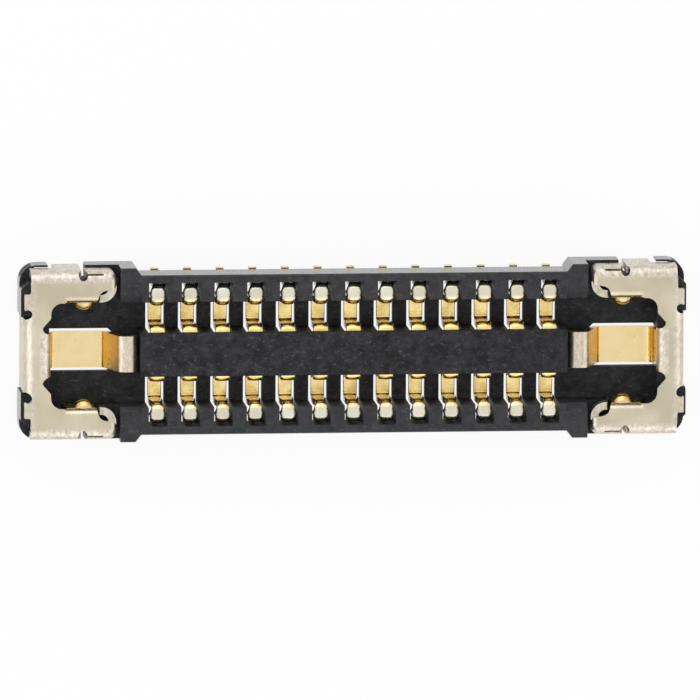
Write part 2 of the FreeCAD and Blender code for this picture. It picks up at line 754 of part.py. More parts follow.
def build_fitting(doc, layout):
    """The folded end fitting of the +X end: its +Y half is built, then doubled."""
    size = layout.size
    body = make_body(doc, "fitting_pattern")
    sheet = size["sheet"]
    tongue_half = size["tongue_width"] / 2
    tongue_fold_line = layout.bar_inner + sheet / 2 + size["end_fold"]
    tab_end = layout.end_fold_line + size["tab_reach"]
    tab_side = size["end_flap_half"] + size["relief_place"]
    step_side = layout.outer_fold_line - size["tab_step_width"]
    notch_end = layout.bar_inner + size["notch_depth"]

    plan_pad(body, "plate", [
        (tongue_fold_line, 0),
        (layout.end_fold_line, 0),
        (layout.end_fold_line, tab_side),
        (tab_end, tab_side),
        (tab_end, step_side),
        (tab_end - size["tab_step"], step_side),
        (tab_end - size["tab_step"], layout.outer_fold_line),
        (layout.arm_fold_line, layout.outer_fold_line),
        (layout.arm_fold_line, layout.inner_fold_line),
        (layout.inner_flap_far, layout.inner_fold_line),
        (layout.inner_flap_far, layout.wall_inner),
        (layout.bar_inner, layout.wall_inner, size["bar_corner"]),
        (layout.bar_inner, tongue_half + size["notch_width"]),
        (notch_end, tongue_half + size["notch_floor"], size["notch_corner"]),
        (notch_end, tongue_half),
        (tongue_fold_line, tongue_half),
    ], layout.seat, size["plate_top"])

    outer_path = [
        (layout.outer_fold_line - sheet / 2, layout.plate_middle),
        (layout.outer_flap_middle, layout.plate_middle, size["outer_fold"]),
    ]
    half_gap = size["flap_gap"] / 2
    to_ledge = [(layout.outer_flap_middle, size["flap_bottom"])]
    to_board = [(layout.outer_flap_middle, 0)]
    side_strip(body, "front_outer_flap", outer_path + to_ledge, sheet,
               layout.arm_end + size["arm_corner_clip"], layout.flap_gap_middle - half_gap)
    side_strip(body, "rear_outer_flap", outer_path + to_ledge, sheet,
               layout.leg_start, layout.rear_flap_far)
    side_strip(body, "side_solder_leg", outer_path + to_board, sheet, layout.leg_start, layout.leg_end)

    inner_path = [
        (layout.inner_fold_line + sheet / 2, layout.plate_middle),
        (layout.inner_flap_middle, layout.plate_middle, size["inner_fold"]),
    ]
    side_strip(body, "inner_flap", inner_path + [(layout.inner_flap_middle, size["inner_flap_bottom"])],
               sheet, layout.inner_flap_start, layout.inner_flap_far)

    end_strip(body, "end_flap", [
        (layout.end_fold_line - sheet / 2, layout.plate_middle),
        (layout.end_flap_middle, layout.plate_middle, size["end_fold"]),
        (layout.end_flap_middle, 0),
    ], sheet, size["end_flap_half"])

    leg_middle = layout.bar_inner + sheet / 2
    flat_middle = size["tongue_floor"] + sheet / 2
    crest_middle = size["tongue_crest"] - sheet / 2
    foot = layout.bar_inner - size["tongue_foot"]
    rise_end = foot - size["tongue_rise"]
    tip = rise_end - size["crest_length"]
    end_strip(body, "tongue", [
        (layout.end_fold_line, layout.plate_middle),
        (leg_middle, layout.plate_middle, size["end_fold"]),
        (leg_middle, flat_middle, size["end_fold"]),
        (foot, flat_middle, sheet),
        (rise_end, crest_middle, size["crest_fold"]),
        (tip, crest_middle, size["crest_fold"]),
        (tip, crest_middle - size["tip_drop"]),
    ], sheet, tongue_half)

    add_ear(body, layout)
    add_latch_nub(body, layout)
    trim_fitting(body, layout, tip - sheet / 2)
    mirror_whole(body, "both_arms", "XZ_Plane")
    return body


def add_ear(body, layout):
    """The free end of an arm, bent down, and the ear that curls round from it to line the cavity."""
    size = layout.size
    sheet = size["sheet"]
    slit = size["ear_slit"]
    ear_x, ear_y = layout.ear_centre
    bottom = size["ear_bottom"]
    top = layout.plate_middle - size["inner_fold"]

    slit_side = layout.wall_inner + sheet + slit
    plan_pocket(body, "ear_slit", [
        (layout.arm_end, layout.wall_inner - OVERCUT),
        (layout.ear_slit_far, layout.wall_inner - OVERCUT),
        (layout.ear_slit_far, slit_side),
        (layout.arm_end + sheet + slit, slit_side, slit / 2),
        (layout.arm_end + sheet + slit, ear_y),
        (layout.arm_end, ear_y),
    ], size["inner_flap_bottom"] - OVERCUT, size["plate_top"] + OVERCUT)

    tip = sketch_on(body, "arm_tip_profile", "XZ_Plane", -layout.arm_tip_side)
    bend = size["ear_bend"]
    draw_strip(tip, [
        (layout.arm_fold_line + sheet / 2, layout.plate_middle),
        (layout.arm_tip_middle + bend, layout.plate_middle),
        (layout.arm_tip_middle, layout.plate_middle - bend),
        (layout.arm_tip_middle, bottom),
    ], sheet)
    pad(body, tip, "arm_tip", layout.arm_tip_side - ear_y)

    sketch = sketch_on(body, "ear_section", "YZ_Plane", ear_x)
    bind(sketch, "AttachmentOffset.Base.x", ear_y)
    draw_loop(sketch, box_loop(-size["ear_radius"], bottom, sheet - size["ear_radius"], top))
    ear = body.newObject("PartDesign::Revolution", "ear")
    ear.Profile = sketch
    ear.ReferenceAxis = (sketch, ["V_Axis"])
    ear.Angle = 90
    ear.Reversed = True
    settle(body, ear)
    if ear.AddSubShape.BoundBox.Center.x > ear_x.value:
        raise RuntimeError("the ear turns the wrong way")
    plan_pad(body, "ear_end",
             box_loop(ear_x, layout.wall_inner, layout.ear_far, layout.wall_inner + sheet), bottom, top)


def add_latch_nub(body, layout):
    """The nub on the inner flap that snaps over the plug."""
    size = layout.size
    middle = layout.flap_gap_middle
    half_root = size["latch_width"] / 2
    half_tip = half_root / 2
    face = layout.wall_inner
    reach = face - size["latch_reach"]
    plan_pad(body, "latch_nub", [
        (middle - half_root, layout.inner_flap_middle),
        (middle - half_root, face),
        (middle - half_tip, reach, size["latch_corner"]),
        (middle + half_tip, reach, size["latch_corner"]),
        (middle + half_root, face),
        (middle + half_root, layout.inner_flap_middle),
    ], size["latch_bottom"], size["latch_top"])


def trim_fitting(body, layout, tip_face):
    """Reliefs and clipped corners, cut through the folded sheet."""
    size = layout.size
    tongue_half = size["tongue_width"] / 2
    below = -OVERCUT
    above = size["plate_top"] + OVERCUT

    reliefs = sketch_on(body, "relief_outline", "XY_Plane", below)
    relief_x = layout.end_flap_outer - size["relief_radius"]
    draw_circle(reliefs, (relief_x, size["end_flap_half"] + size["relief_place"]), size["relief_radius"])
    reach = size["flap_gap_relief"]
    draw_loop(reliefs, [
        (layout.flap_gap_middle - reach, layout.outer_fold_line + reach),
        (layout.flap_gap_middle - reach, layout.outer_fold_line),
        (layout.flap_gap_middle - reach / 2, layout.outer_fold_line - reach / 2),
        (layout.flap_gap_middle + reach / 2, layout.outer_fold_line - reach / 2),
        (layout.flap_gap_middle + reach, layout.outer_fold_line),
        (layout.flap_gap_middle + reach, layout.outer_fold_line + reach),
    ])
    pocket(body, reliefs, "reliefs", above - below)

    clip = size["tongue_corner_clip"]
    plan_pocket(body, "tongue_corner_clip", [
        (tip_face - OVERCUT, tongue_half - clip),
        (tip_face, tongue_half - clip),
        (tip_face + clip, tongue_half),
        (tip_face + clip, tongue_half + OVERCUT),
        (tip_face - OVERCUT, tongue_half + OVERCUT),
    ], below, above)


def place_copy(doc, source, label, along=None, half_turn=False):
    """A body of its own with the shape of the source, moved along X and turned half round if asked."""
    body = make_body(doc, label)
    base = doc.addObject("PartDesign::FeatureBase", f"{label}_base")
    base.BaseFeature = source
    body.Group = [base]
    body.Tip = base
    turn = FreeCAD.Rotation(FreeCAD.Vector(0, 0, 1), 180 if half_turn else 0)
    body.Placement = FreeCAD.Placement(FreeCAD.Vector(0, 0, 0), turn)
    if along is not None:
        bind(body, "Placement.Base.x", along)
    return body


def build_part(doc):
    """Builds every piece and returns the ones that make up the connector."""
    layout = Layout(make_sheet(doc))
    housing = build_housing(doc, layout)
    fitting = build_fitting(doc, layout)
    contact = build_contact(doc, layout)
    pieces = [
        housing,
        place_copy(doc, fitting, "end_fitting_right"),
        place_copy(doc, fitting, "end_fitting_left", half_turn=True),
    ]
    for number in range(round(layout.size["contacts_per_row"].value)):
        along = layout.size["pitch"] * number - layout.row_end
        pieces.append(place_copy(doc, contact, f"contact_back_{number + 1:02d}", along))
        pieces.append(place_copy(doc, contact, f"contact_front_{number + 1:02d}", along, half_turn=True))
    doc.recompute()
    return pieces


def check_document(doc, pieces):
    """Stops before anything is written if an object failed or a piece is not one sound solid."""
    for item in doc.Objects:
        if "Invalid" in item.State or "Error" in item.State:
            raise RuntimeError(f"{item.Label} failed: {item.State}")
    for piece in pieces:
        shape = piece.Shape
        if shape.isNull() or not shape.isValid() or len(shape.Solids) != 1:
            raise RuntimeError(f"{piece.Label} is not one valid solid")


def main():
    doc = FreeCAD.newDocument("board_to_flex_connector")
    pieces = build_part(doc)
    check_document(doc, pieces)
    os.makedirs("parts", exist_ok=True)
    for piece in pieces:
        piece.Shape.exportStep(f"parts/{piece.Label}.step")
        box = piece.Shape.BoundBox
        print(f"{piece.Label}: volume {piece.Shape.Volume:.5f}, X {box.XMin:.3f} to {box.XMax:.3f}, "
              f"Y {box.YMin:.3f} to {box.YMax:.3f}, Z {box.ZMin:.3f} to {box.ZMax:.3f}")


main()
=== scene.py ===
import bmesh
import bpy
import math
from mathutils import Matrix, Vector


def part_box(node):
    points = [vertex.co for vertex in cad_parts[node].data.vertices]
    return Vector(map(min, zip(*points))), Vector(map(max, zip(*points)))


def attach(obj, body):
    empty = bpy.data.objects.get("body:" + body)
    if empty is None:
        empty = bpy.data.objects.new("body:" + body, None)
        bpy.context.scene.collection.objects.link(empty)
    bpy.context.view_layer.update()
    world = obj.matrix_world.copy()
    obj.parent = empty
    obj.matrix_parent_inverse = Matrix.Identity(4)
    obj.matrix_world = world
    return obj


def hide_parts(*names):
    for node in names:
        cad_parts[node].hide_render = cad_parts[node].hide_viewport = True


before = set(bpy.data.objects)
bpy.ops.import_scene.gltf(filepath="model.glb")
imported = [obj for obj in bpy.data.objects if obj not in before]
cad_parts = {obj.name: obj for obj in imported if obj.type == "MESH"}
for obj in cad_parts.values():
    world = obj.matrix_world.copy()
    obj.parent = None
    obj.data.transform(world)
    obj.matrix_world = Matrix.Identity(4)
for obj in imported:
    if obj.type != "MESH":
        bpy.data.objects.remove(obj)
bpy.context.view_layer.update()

# Receptacle half of a low board-to-flex connector.
# Shapes are worked out in millimetres, in the frame's own axes, and turned into metres at the end.

MM = 0.001
RIGHT_ANGLE = math.pi / 2

# Points of a mesh that lie nearer than this are one point
SAME_POINT = 1e-4

# Camera: a long lens nearly straight above, leaning a little to the back and to the left.
# Its distance stays under 100 times the object's radius, because the other views stop seeing there.
VIEW_BACK = Vector((-0.098, 0.150, 1.0)).normalized()
VIEW_ROLL = -0.0046
VIEW_TARGET = Vector((-0.0215, -0.0052, 0.3)) * MM
VIEW_WIDTH = 7.474 * MM
VIEW_DISTANCE = 280 * MM
SENSOR = 36

# Housing, from its middle: where its material changes, and how much its edges are softened
HOUSING_EDGE = 0.008
WALL_TOP_INNER = 0.50
WALL_FACE = 0.79
ROWS_END = 2.5
OUTERMOST_X = 3.55
OUTERMOST_Y = 0.925

# Contact, on the +Y row: widths, the rounding of the strip, and the wings on both edges of its crest
STRIP = 0.07
STRIP_CORNER = 0.011
STRIP_CROWN = 0.007
TAIL_WIDTH = 0.088
CREST_WIDTH = 0.122
FLOOR_WIDTH = 0.146
TAB_WIDTH = 0.158
TAB_RADIUS = 0.035
WING_REACH = 0.031
WING_BEFORE = 0.11
WING_AFTER = 0.08
WING_INSET = 0.014
WING_SLOPE = 0.22

# Its plating: partly gold on the tail, nickel on the outer leg and the crest, gold from the inner bend on
TAIL_PLATING = 0.55
GOLD_FADE = 0.08

# Its middle line seen along the row: across the connector, up, and the radius of the fold
CONTACT_PATH = [
    (0.868, 0.035),
    (0.715, 0.035, 0.05),
    (0.715, 0.492, 0.052),
    (0.552, 0.492, 0.080),
    (0.552, 0.065, 0.055),
    (0.258, 0.065, 0.07),
    (0.272, 0.445, 0.05),
    (0.19, 0.445),
]
TAIL_BEND, OUTER_BEND, INNER_BEND, FLOOR_BEND, SPRING_BEND = range(5)

# End fitting, seen from above on the +X end; only its +Y half is drawn.
# A fold line is where the flat plate ends, and a blend is where the sheet is flat again beside a fold.
SHEET = 0.08
SHEET_EDGE = 0.012
PLATE_MIDDLE = 0.56
BAR_INNER = 3.25
END_FOLD_LINE = 3.41
END_FOLD = 0.09
END_FLAP_HALF = 0.40
END_FLAP_BLEND = 0.50
END_RELIEF = (3.50, 0.447)
END_RELIEF_RADIUS = 0.055
OUTER_FOLD_LINE = 0.79
OUTER_FOLD = 0.08
LEG_LENGTH = 0.29
HOLE_CENTRE = (2.905, 0.85)
HOLE_RADIUS = 0.05
INNER_FOLD_LINE = 0.665
INNER_FOLD = 0.06
INNER_FLAP_START = 2.77
INNER_FLAP_END = 3.09
INNER_FLAP_BLEND = 3.125
INNER_FLAP_LIFT = 0.22
CAVITY_CORNER = (3.13, 0.45)
CAVITY_CORNER_RADIUS = 0.12
ARM_FOLD_LINE = 2.633
ARM_FOLD = 0.048
ARM_INNER = 0.5115
ARM_DROP = 0.14
CURL_TOP = ARM_FOLD_LINE - ARM_FOLD * RIGHT_ANGLE
CURL_CENTRE = Vector((2.705, 0.725))
CURL_RADIUS = 0.12
CURL_BLEND = 2.60
LATCH_MIDDLE = Vector((2.89, 0.445))
LATCH_HALF_WIDTH = 0.09
LATCH_HALF_HEIGHT = 0.066
LATCH_REACH = 0.085
LATCH_ROUNDNESS = 0.6
TONGUE_HALF = 0.1925
TONGUE_ROOT_HALF = 0.235
TONGUE_ROOT_BLEND = 0.29
TONGUE_ROOT_X = 3.38
TONGUE_PATH = [
    (3.41, 0.56),
    (3.285, 0.56, 0.08),
    (3.285, 0.07, 0.14),
    (2.635, 0.07, 0.07),
    (2.48, 0.46, 0.06),
    (2.345, 0.46, 0.05),
    (2.345, 0.36),
]
TONGUE_LOW, TONGUE_RISE, TONGUE_CREST = 1, 2, 3


def smooth_step(low, high, value):
    part = min(1, max(0, (value - low) / (high - low)))
    return part * part * (3 - 2 * part)


def spread(low, high, count):
    return [low + (high - low) * step / count for step in range(count + 1)]


def rotated(vector, angle):
    return Vector((vector.x * math.cos(angle) - vector.y * math.sin(angle),
                   vector.x * math.sin(angle) + vector.y * math.cos(angle)))


class Path:
    """Straight runs joined by round folds, read by the length along it."""

    def __init__(self, corners):
        points = [Vector(corner[:2]) for corner in corners]
        self.pieces = []
        self.folds = []
        self.length = 0
        here = points[0]
        for index in range(1, len(corners) - 1):
            corner, radius = points[index], corners[index][2]
            arrive = (corner - points[index - 1]).normalized()
            leave = (points[index + 1] - corner).normalized()
            turn = -arrive.angle_signed(leave)
            side = 1 if turn > 0 else -1
            cut = radius * math.tan(abs(turn) / 2)
            start = corner - arrive * cut
            self.add_piece((start - here).length, here, arrive)
            centre = start + Vector((-arrive.y, arrive.x)) * side * radius
            self.folds.append((self.length, self.length + radius * abs(turn)))
            self.add_piece(radius * abs(turn), start, arrive, (centre, radius, side))
            here = corner + leave * cut
        self.add_piece((points[-1] - here).length, here, (points[-1] - here).normalized())

    def add_piece(self, length, start, arrive, fold=None):
        self.pieces.append((self.length, length, start, arrive, fold))
        self.length += length

    def at(self, distance):
        """The place and the direction at that length along the path."""
        for begin, length, start, arrive, fold in self.pieces:
            if distance <= begin + length:
                break
        past = distance - begin
        if fold is None:
            return start + arrive * past, arrive
        centre, radius, side = fold
        angle = past / radius * side
        return centre + rotated(start - centre, angle), rotated(arrive, angle)


def modified_mesh(bm, modifiers):
    """Shades a mesh smooth and runs modifiers on it, all in millimetres."""
    for face in bm.faces:
        face.smooth = True
    mesh = bpy.data.meshes.new("work")
    bm.to_mesh(mesh)
    bm.free()
    work = bpy.data.objects.new("work", mesh)
    bpy.context.scene.collection.objects.link(work)
    for kind, settings in modifiers:
        modifier = work.modifiers.new(kind.lower(), kind)
        for key, value in settings.items():
            setattr(modifier, key, value)
    graph = bpy.context.evaluated_depsgraph_get()
    result = bpy.data.meshes.new_from_object(work.evaluated_get(graph), preserve_all_data_layers=True,
                                             depsgraph=graph)
    bpy.data.objects.remove(work)
    bpy.data.meshes.remove(mesh)
    return result


def to_metres(mesh):
    mesh.transform(Matrix.Scale(MM, 4))
    return mesh


def weighted_normals(keep_sharp):
    return "WEIGHTED_NORMAL", {"keep_sharp": keep_sharp, "weight": 60}


def edge_bevel(width, sharper_than):
    """Rounds the edges where two faces meet at more than so many degrees."""
    return "BEVEL", {"width": width, "segments": 2, "limit_method": "ANGLE",
                     "angle_limit": math.radians(sharper_than)}


def add_piece(name, mesh, material, node):
    """Puts a mesh in metres in the scene, where it stands for the CAD node."""
    mesh.name = name
    mesh.materials.clear()
    mesh.materials.append(material)
    piece = bpy.data.objects.new(name, mesh)
    bpy.context.scene.collection.objects.link(piece)
    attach(piece, "root")
    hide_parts(node)


# Materials

class Nodes:
    """A few words for building a material's nodes."""

    def __init__(self, material):
        self.tree = material.node_tree
        self.shader = self.tree.nodes["Principled BSDF"]

    def add(self, kind, **settings):
        node = self.tree.nodes.new(kind)
        for key, value in settings.items():
            setattr(node, key, value)
        return node

    def link(self, source, target):
        self.tree.links.new(source, target)

    def math(self, operation, first, second=None):
        node = self.add("ShaderNodeMath", operation=operation)
        self.link(first, node.inputs[0])
        if isinstance(second, (int, float)):
            node.inputs[1].default_value = second
        elif second is not None:
            self.link(second, node.inputs[1])
        return node.outputs[0]

    def split(self, vector):
        node = self.add("ShaderNodeSeparateXYZ")
        self.link(vector, node.inputs[0])
        return node.outputs

    def attribute(self, name):
        return self.add("ShaderNodeAttribute", attribute_name=name).outputs["Fac"]

    def place(self, stretch=(1, 1, 1)):
        """Object coordinates in millimetres, stretched."""
        coordinates = self.add("ShaderNodeTexCoord")
        mapping = self.add("ShaderNodeMapping")
        mapping.inputs["Scale"].default_value = [value / MM for value in stretch]
        self.link(coordinates.outputs["Object"], mapping.inputs["Vector"])
        return mapping.outputs["Vector"]

    def noise(self, vector, scale, detail, roughness):
        node = self.add("ShaderNodeTexNoise")
        node.inputs["Scale"].default_value = scale
        node.inputs["Detail"].default_value = detail
        node.inputs["Roughness"].default_value = roughness
        self.link(vector, node.inputs["Vector"])
        return node.outputs["Fac"]

    def ramp(self, factor, low, high, low_value=0, high_value=1):
        node = self.add("ShaderNodeMapRange", clamp=True)
        node.inputs["From Min"].default_value = low
        node.inputs["From Max"].default_value = high
        node.inputs["To Min"].default_value = low_value
        node.inputs["To Max"].default_value = high_value
        self.link(factor, node.inputs["Value"])
        return node.outputs["Result"]

    def mix(self, factor, first, second):
        node = self.add("ShaderNodeMix", data_type="RGBA")
        self.link(factor, node.inputs[0])
        for socket, value in ((6, first), (7, second)):
            if isinstance(value, tuple):
                node.inputs[socket].default_value = (*value, 1)
            else:
                self.link(value, node.inputs[socket])
        return node.outputs[2]

    def bump(self, height, depth, strength):
        node = self.add("ShaderNodeBump")
        node.inputs["Distance"].default_value = depth * MM
        node.inputs["Strength"].default_value = strength
        self.link(height, node.inputs["Height"])
        self.link(node.outputs["Normal"], self.shader.inputs["Normal"])


def new_material(name):
    material = bpy.data.materials.new(name)
    material.use_nodes = True
    return material, Nodes(material)


def plastic_material():
    """Black glass-filled moulding: mottled and speckled on top, shiny on the outer side walls."""
    material, nodes = new_material("housing_plastic")
    place = nodes.place()
    cloud = nodes.noise(place, 8, 5, 0.7)
    grain = nodes.noise(place, 60, 3, 0.7)
    specks = nodes.noise(nodes.place((1, 1.4, 1)), 22, 2, 0.6)
    fibres = nodes.noise(nodes.place((0.6, 1.2, 1)), 34, 1, 0.4)
    base = nodes.mix(nodes.ramp(cloud, 0.38, 0.64), (0.004, 0.004, 0.005), (0.029, 0.029, 0.033))
    base = nodes.mix(nodes.ramp(specks, 0.60, 0.74, 0, 0.7), base, (0.085, 0.085, 0.092))
    base = nodes.mix(nodes.ramp(fibres, 0.68, 0.80, 0, 0.35), base, (0.15, 0.15, 0.155))

    # Where on the housing a point lies, and which way its face looks
    upward = nodes.split(nodes.add("ShaderNodeNewGeometry").outputs["True Normal"])["Z"]
    sideways = nodes.ramp(nodes.math("ABSOLUTE", upward), 0.2, 0.8, 1, 0)
    spot = nodes.split(place)
    across = nodes.math("ABSOLUTE", spot["Y"])
    along = nodes.math("ABSOLUTE", spot["X"])
    beside_rows = nodes.math("MULTIPLY", nodes.ramp(across, WALL_FACE, WALL_FACE + 0.01),
                             nodes.ramp(along, ROWS_END, ROWS_END + 0.05, 1, 0))
    outermost = nodes.math("MAXIMUM", nodes.ramp(across, OUTERMOST_Y, OUTERMOST_Y + 0.005),
                           nodes.ramp(along, OUTERMOST_X, OUTERMOST_X + 0.01))
    shiny = nodes.math("MULTIPLY", sideways, nodes.math("MAXIMUM", beside_rows, outermost))
    # Painted sheen: the tops of the walls beside the rows are painted lighter, standing in for the light from
    # the back that falls on them
    painted_wall_top_sheen = nodes.math("MULTIPLY", nodes.ramp(across, WALL_TOP_INNER, WALL_TOP_INNER + 0.02),
                          nodes.ramp(along, ROWS_END, ROWS_END + 0.05, 0.22, 0))

    base = nodes.mix(painted_wall_top_sheen, base, (0.085, 0.085, 0.095))
    nodes.link(base, nodes.shader.inputs["Base Color"])
    rough = nodes.math("ADD", nodes.ramp(shiny, 0, 1, 0.5, 0.08), nodes.ramp(grain, 0.3, 0.7, -0.03, 0.08))
    nodes.link(rough, nodes.shader.inputs["Roughness"])
    nodes.link(nodes.ramp(shiny, 0, 1, 0.26, 0.95), nodes.shader.inputs["Specular IOR Level"])
    height = nodes.math("ADD", nodes.math("MULTIPLY", grain, 0.6), cloud)
    nodes.bump(height, 0.007, 0.6)
    return material


def metal_material(name, bare, bare_pale, plated, deep, deepen, rough, speck_amount):
    """Plated metal, steered by three values on the mesh's points, which are 0 where a mesh has none.

    Plating goes from bare nickel to gold. Scuffed places go from smooth to roughened, with a pale painted
    highlight. Depth goes from light to deep gold, a painted reflection of the dark housing.
    """
    material, nodes = new_material(name)
    place = nodes.place()
    plating, scuff_and_highlight, depth = [nodes.attribute(value) for value in ("plating", "scuff_and_highlight", "depth")]
    sheen = nodes.noise(place, 2.2, 2, 0.5)
    cloud = nodes.noise(place, 7, 3, 0.55)
    grain = nodes.noise(place, 55, 3, 0.6)
    scratch = nodes.noise(nodes.place((1, 0.5, 1)), 30, 4, 0.7)
    specks = nodes.noise(place, 30, 1, 0.5)

    nickel = nodes.mix(nodes.ramp(sheen, 0.42, 0.66), bare, bare_pale)
    # Scuffed places are roughened, and their pale tone is also a painted highlight on folds, tips and crests
    scratch_and_highlight_tone = nodes.mix(nodes.ramp(scratch, 0.38, 0.62), (0.50, 0.43, 0.36), (0.86, 0.80, 0.73))
    nickel = nodes.mix(nodes.math("MULTIPLY", scuff_and_highlight, 0.75), nickel, scratch_and_highlight_tone)
    # Painted reflection: where the depth value is high the gold is painted deep for the dark housing it
    # reflects; random blotches elsewhere take the deep gold too
    gold = nodes.mix(nodes.math("MAXIMUM", nodes.ramp(cloud, 0.38, 0.7, 0, deepen), depth), plated, deep)
    base = nodes.mix(plating, nickel, gold)
    base = nodes.mix(nodes.ramp(specks, 0.74, 0.82, 0, speck_amount), base, (0.16, 0.10, 0.04))
    nodes.link(base, nodes.shader.inputs["Base Color"])
    nodes.shader.inputs["Metallic"].default_value = 1
    roughness = nodes.math("ADD", nodes.ramp(cloud, 0.3, 0.7, rough - 0.05, rough + 0.07),
                           nodes.math("MULTIPLY", scuff_and_highlight, 0.12))
    nodes.link(roughness, nodes.shader.inputs["Roughness"])
    height = nodes.math("ADD", nodes.math("ADD", grain, cloud), nodes.math("MULTIPLY", scuff_and_highlight, scratch))
    nodes.bump(height, 0.003, 0.55)
    return material


# Contacts

def strip_section(width, thickness, corner, crown, wing_from):
    """Outline of the strip cut across: rounded corners, a crowned upper face and wings that slope down."""
    half = width / 2 - corner
    top = thickness / 2
    upper = [(across, top + crown * (1 - (across / (width / 2)) ** 2)) for across in spread(-half, half, 6)]
    edge = []
    for turn in (60, 30, 0, -30, -60, -90):
        angle = math.radians(turn)
        rise = top - corner if turn >= 0 else corner - top
        edge.append((half + corner * math.cos(angle), rise + corner * math.sin(angle)))
    points = upper + edge + [(-across, up) for across, up in reversed(edge)]
    return [(across, up - WING_SLOPE * max(0, abs(across) - wing_from)) for across, up in points]


def loft(bm, rings):
    """Skins a row of closed rings and closes both ends."""
    loops = [[bm.verts.new(point) for point in ring] for ring in rings]
    count = len(loops[0])
    for before, after in zip(loops, loops[1:]):
        for index in range(count):
            following = (index + 1) % count
            bm.faces.new((before[index], before[following], after[following], after[index]))
    bm.faces.new(list(reversed(loops[0])))
    bm.faces.new(loops[-1])


def wing_amount(past_crest):
    """The pointed wings on both edges of the crest, from 0 to 1."""
    return max(0, 1 - abs(past_crest) / (WING_BEFORE if past_crest < 0 else WING_AFTER))


def contact_width(distance, path):
    """Width of the strip along its length: slim outer leg, winged crest, wide spring and tab."""
    outer_fold, inner_fold = path.folds[OUTER_BEND], path.folds[INNER_BEND]
    crest = (outer_fold[1] + inner_fold[0]) / 2
    leg_top = inner_fold[1]
    spring_foot = path.folds[SPRING_BEND][1]
    width = TAIL_WIDTH + (CREST_WIDTH - TAIL_WIDTH) * smooth_step(*outer_fold, distance)
    width += 2 * WING_REACH * wing_amount(distance - crest)
    width += (FLOOR_WIDTH - CREST_WIDTH) * smooth_step(leg_top, leg_top + 0.12, distance)
    width += (TAB_WIDTH - FLOOR_WIDTH) * smooth_step(spring_foot, spring_foot + 0.1, distance)
    return width


def contact_marks(path):
    """Where the strip's rings lie: the length along it, and how much narrower and thinner the ring is."""
    marks = []
    for turn in (70, 40, 15):
        less = 2 * STRIP_CORNER * (1 - math.cos(math.radians(turn)))
        marks.append((STRIP_CORNER * (1 - math.sin(math.radians(turn))), less, less))
    tail_fold = path.folds[TAIL_BEND]
    crest_begin, crest_end = path.folds[OUTER_BEND][0], path.folds[INNER_BEND][1]
    stations = set(spread(tail_fold[0] - 0.03, tail_fold[1] + 0.02, 5))
    stations.update(spread(crest_begin, crest_end, 26))
    stations.update(spread(crest_end, path.folds[FLOOR_BEND][0], 5))
    for begin, end in path.folds:
        stations.update(spread(begin, end, 8))
    tab_begin = path.length - TAB_RADIUS
    marks += [(distance, 0, 0) for distance in sorted(stations) if distance < tab_begin]
    for turn in spread(0, 80, 6):
        less = TAB_RADIUS * (1 - math.cos(math.radians(turn)))
        marks.append((tab_begin + TAB_RADIUS * math.sin(math.radians(turn)), 2 * less, 0.5 * less))
    return marks


def contact_mesh():
    """One contact of the +Y row, at X 0, with its plating on each point."""
    path = Path(CONTACT_PATH)
    crest_begin, crest_end = path.folds[OUTER_BEND][0], path.folds[INNER_BEND][1]
    gold_begin = path.folds[INNER_BEND][0]
    rings, ring_plating = [], []
    for distance, narrower, thinner in contact_marks(path):
        place, heading = path.at(distance)
        normal = Vector((heading.y, -heading.x))
        width = contact_width(distance, path) - narrower
        thickness = STRIP - thinner
        corner = min(STRIP_CORNER, thickness * 0.35)
        crown = STRIP_CROWN * smooth_step(crest_begin, crest_begin + 0.05, distance)
        wing_from = CREST_WIDTH / 2 - WING_INSET if crest_begin < distance < crest_end else math.inf
        section = strip_section(width, thickness, corner, crown, wing_from)
        rings.append([(across, place.x + normal.x * up, place.y + normal.y * up) for across, up in section])
        gold = smooth_step(gold_begin, gold_begin + GOLD_FADE, distance)
        ring_plating.append(TAIL_PLATING if distance < path.folds[TAIL_BEND][0] else gold)
    bm = bmesh.new()
    plating = bm.verts.layers.float.new("plating")
    loft(bm, rings)
    for number, vert in enumerate(bm.verts):
        vert[plating] = ring_plating[number // len(rings[0])]
    return bm


def make_contacts(material):
    bm = contact_mesh()
    bmesh.ops.recalc_face_normals(bm, faces=bm.faces)
    base = to_metres(modified_mesh(bm, [weighted_normals(True)]))
    for name in sorted(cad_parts):
        if not name.startswith("contact"):
            continue
        low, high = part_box(name)
        mesh = base.copy()
        if name.startswith("contact_front"):
            mesh.transform(Matrix.Rotation(math.pi, 4, "Z"))
        mesh.transform(Matrix.Translation(((low.x + high.x) / 2, 0, 0)))
        add_piece(f"{name}_strip", mesh, material, name)


# End fittings

def arc_points(centre, radius, start, end, steps):
    """Points on an arc from one angle in degrees to the other."""
    angles = [math.radians(turn) for turn in spread(start, end, steps)]
    return [(centre[0] + radius * math.cos(angle), centre[1] + radius * math.sin(angle)) for angle in angles]


